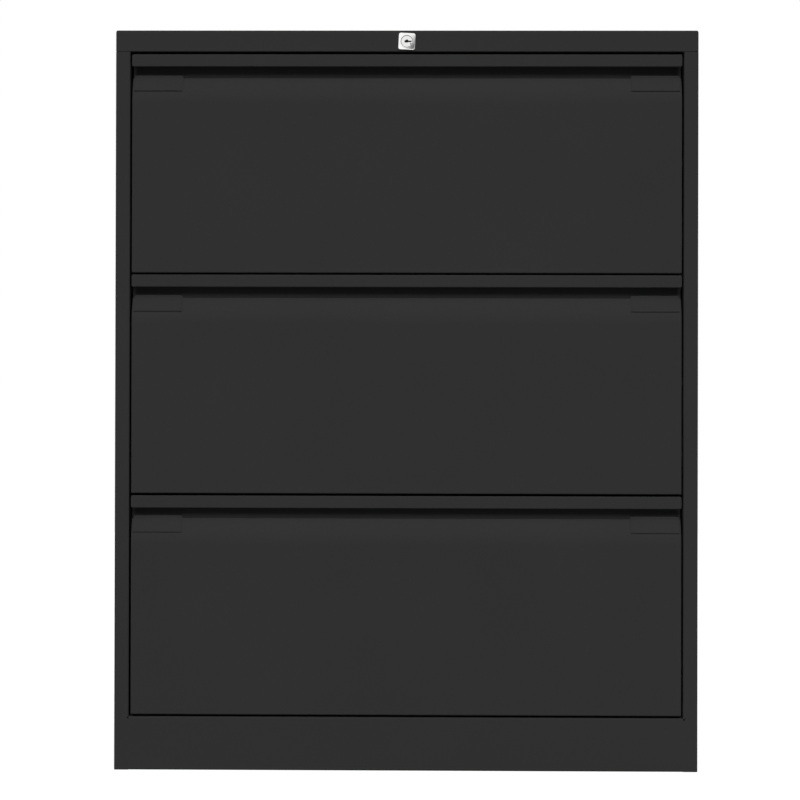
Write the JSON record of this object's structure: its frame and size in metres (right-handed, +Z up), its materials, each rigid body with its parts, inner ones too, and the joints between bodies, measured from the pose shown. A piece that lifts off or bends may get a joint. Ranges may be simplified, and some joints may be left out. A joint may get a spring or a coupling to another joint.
{
  "type": "lateral filing cabinet",
  "caption": "Free-standing steel side filing cabinet with full-width recessed-pull drawers on telescopic runners and a central key lock.",
  "frame": {"origin": "on the floor, under the middle of the cabinet's bounding box", "axes": "+Z up, the drawers open towards -Y, +X to the right seen from the front"},
  "size_m": [0.8, 0.4736, 1.016],
  "materials": {
    "case_paint": "satin near-black powder coat",
    "label_plastic": "satin black moulded",
    "zinc_plate": "bright zinc plate",
    "lock_nickel": "polished nickel plate"
  },
  "bodies": {
    "case": {"top_panel": "case_paint", "lock_shelf": "case_paint", "back_panel": "case_paint", "plinth_front": "case_paint", "base_panel": "case_paint", "rear_base_rail": "case_paint", "left_side_panel": "case_paint", "left_front_upright": "case_paint", "left_rear_upright": "case_paint", "right_side_panel": "case_paint", "right_front_upright": "case_paint", "right_rear_upright": "case_paint", "drawer_1_left_runner_outer": "zinc_plate", "drawer_1_right_runner_outer": "zinc_plate", "drawer_2_left_runner_outer": "zinc_plate", "drawer_2_right_runner_outer": "zinc_plate", "drawer_3_left_runner_outer": "zinc_plate", "drawer_3_right_runner_outer": "zinc_plate", "lock_housing": "lock_nickel", "lock_nut": "zinc_plate", "lock_bar_guide_lower": "zinc_plate", "lock_bar_guide_upper": "zinc_plate"},
    "drawer_1": {"drawer_1_front": "case_paint", "drawer_1_inner_front": "case_paint", "drawer_1_tray": "case_paint", "drawer_1_back": "case_paint", "drawer_1_lock_catch": "zinc_plate", "drawer_1_left_label_holder": "label_plastic", "drawer_1_right_label_holder": "label_plastic", "drawer_1_left_runner_inner": "zinc_plate", "drawer_1_right_runner_inner": "zinc_plate"},
    "drawer_1_runners": {"drawer_1_left_runner_middle": "zinc_plate", "drawer_1_right_runner_middle": "zinc_plate"},
    "drawer_2": {"drawer_2_front": "case_paint", "drawer_2_inner_front": "case_paint", "drawer_2_tray": "case_paint", "drawer_2_back": "case_paint", "drawer_2_lock_catch": "zinc_plate", "drawer_2_left_label_holder": "label_plastic", "drawer_2_right_label_holder": "label_plastic", "drawer_2_left_runner_inner": "zinc_plate", "drawer_2_right_runner_inner": "zinc_plate"},
    "drawer_2_runners": {"drawer_2_left_runner_middle": "zinc_plate", "drawer_2_right_runner_middle": "zinc_plate"},
    "drawer_3": {"drawer_3_front": "case_paint", "drawer_3_inner_front": "case_paint", "drawer_3_tray": "case_paint", "drawer_3_back": "case_paint", "drawer_3_lock_catch": "zinc_plate", "drawer_3_left_label_holder": "label_plastic", "drawer_3_right_label_holder": "label_plastic", "drawer_3_left_runner_inner": "zinc_plate", "drawer_3_right_runner_inner": "zinc_plate"},
    "drawer_3_runners": {"drawer_3_left_runner_middle": "zinc_plate", "drawer_3_right_runner_middle": "zinc_plate"},
    "lock_cylinder": {"lock_plug": "lock_nickel", "lock_cam": "zinc_plate"},
    "lock_slide": {"lock_slide": "zinc_plate"},
    "lock_bar": {"lock_bar": "zinc_plate"}
  },
  "joints": [
    {"name": "drawer_1_slide", "type": "slide", "parent": "case", "child": "drawer_1", "axis": [0, -1, 0], "range_m": [0, 0.4]},
    {"name": "drawer_1_runner_slide", "type": "slide", "parent": "case", "child": "drawer_1_runners", "axis": [0, -1, 0], "range_m": [0, 0.2]},
    {"name": "drawer_2_slide", "type": "slide", "parent": "case", "child": "drawer_2", "axis": [0, -1, 0], "range_m": [0, 0.4]},
    {"name": "drawer_2_runner_slide", "type": "slide", "parent": "case", "child": "drawer_2_runners", "axis": [0, -1, 0], "range_m": [0, 0.2]},
    {"name": "drawer_3_slide", "type": "slide", "parent": "case", "child": "drawer_3", "axis": [0, -1, 0], "range_m": [0, 0.4]},
    {"name": "drawer_3_runner_slide", "type": "slide", "parent": "case", "child": "drawer_3_runners", "axis": [0, -1, 0], "range_m": [0, 0.2]},
    {"name": "lock_turn", "type": "hinge", "parent": "case", "child": "lock_cylinder", "pos_m": [0, -0.23325, 1.00035], "axis": [0, 1, 0], "range_deg": [0, 90]},
    {"name": "lock_slide_shift", "type": "slide", "parent": "case", "child": "lock_slide", "axis": [-1, 0, 0], "range_m": [0, 0.0099]},
    {"name": "lock_bar_drop", "type": "slide", "parent": "case", "child": "lock_bar", "axis": [0, 0, -1], "range_m": [0, 0.0099]}
  ],
  "couplings": [
    {"joint": "drawer_1_runner_slide", "follows": "drawer_1_slide", "ratio": 0.5},
    {"joint": "drawer_2_runner_slide", "follows": "drawer_2_slide", "ratio": 0.5},
    {"joint": "drawer_3_runner_slide", "follows": "drawer_3_slide", "ratio": 0.5},
    {"joint": "lock_turn", "follows": "lock_bar_drop", "rad_per_m": 158.67},
    {"joint": "lock_slide_shift", "follows": "lock_bar_drop", "ratio": 1}
  ]
}
